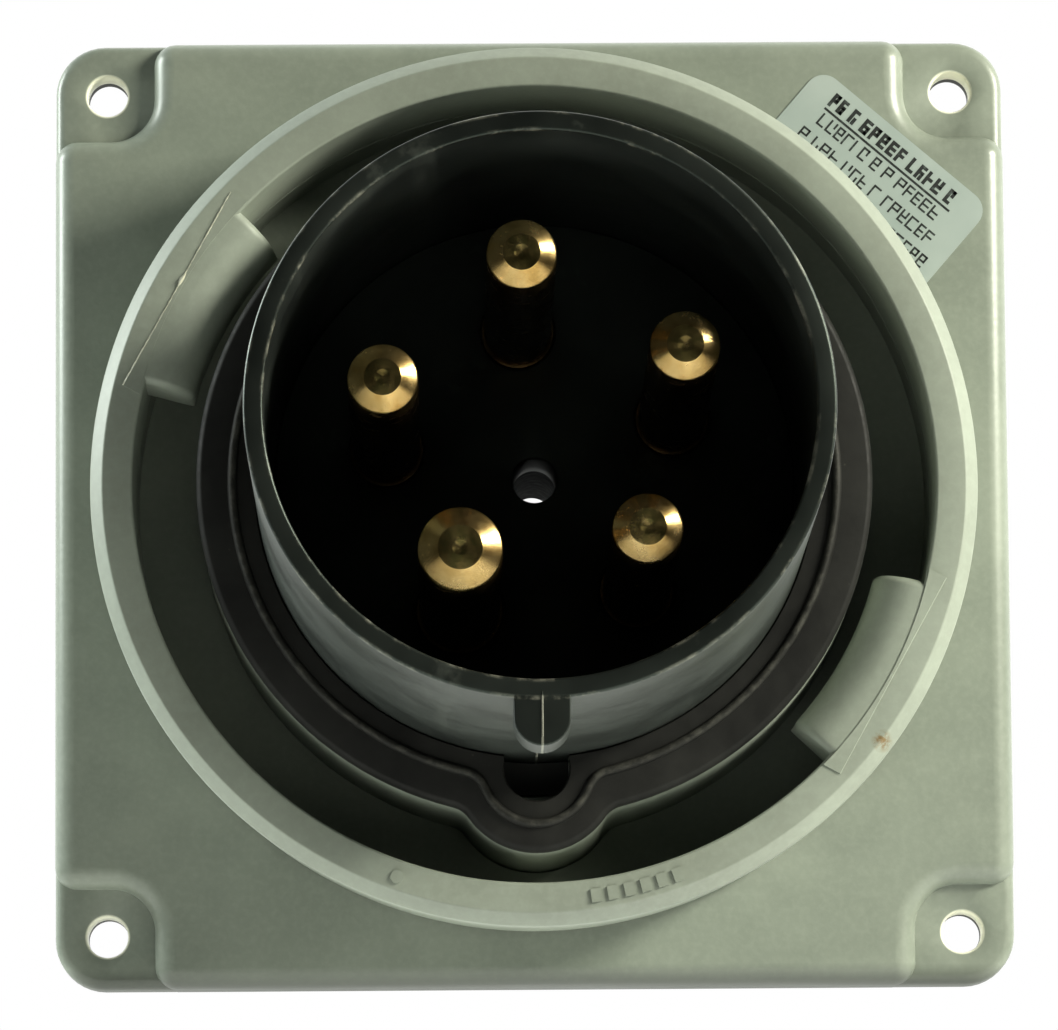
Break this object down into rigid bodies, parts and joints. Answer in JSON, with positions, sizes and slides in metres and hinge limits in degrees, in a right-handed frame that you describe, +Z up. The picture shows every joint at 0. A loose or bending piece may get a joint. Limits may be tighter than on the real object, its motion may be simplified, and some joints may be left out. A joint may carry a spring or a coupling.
{
  "type": "flanged pin-and-sleeve power inlet",
  "caption": "Square-flanged male power inlet: keyed black sleeve round brass pins, face gasket and a grey turning lock ring with bayonet lugs.",
  "frame": {"origin": "centre of the square hole pattern, on the panel surface behind the flange", "axes": "+Z up with the guide key at the bottom, -Y out of the panel along the pins, +X to the right seen from the front"},
  "size_m": [0.146, 0.14, 0.146],
  "materials": {
    "housing": "moulded, satin",
    "ring": "moulded, fine matt",
    "black_plastic": "moulded, half gloss",
    "insulator": "moulded, matt",
    "gasket_rubber": "moulded rubber",
    "sheet_rubber": "cut sheet",
    "brass": "turned",
    "steel": "zinc plated",
    "label": "printed film"
  },
  "bodies": {
    "inlet": {"flange_housing": "housing", "flange_gasket": "sheet_rubber", "neck": "housing", "ring_collar": "housing", "ring_retainer": "steel", "face_gasket": "gasket_rubber", "sleeve": "black_plastic", "insert_face": "black_plastic", "insert_seal": "sheet_rubber", "pin_seals": "sheet_rubber", "pin_carrier": "insulator", "terminal_block": "insulator", "phase_barriers": "insulator", "pin_l1": "brass", "pin_l2": "brass", "pin_l3": "brass", "pin_neutral": "brass", "pin_earth": "brass", "clamp_screw_l1": "steel", "clamp_screw_l2": "steel", "clamp_screw_l3": "steel", "clamp_screw_neutral": "steel", "clamp_screw_earth": "steel", "insert_screws": "steel", "block_screws": "steel", "rating_label": "label"},
    "lock_ring": {"locking_ring": "ring"}
  },
  "joints": [
    {"name": "ring_turn", "type": "hinge", "parent": "inlet", "child": "lock_ring", "pos_m": [0, -0.026, 0], "axis": [0, -1, 0], "range_deg": [-30, 0]}
  ]
}
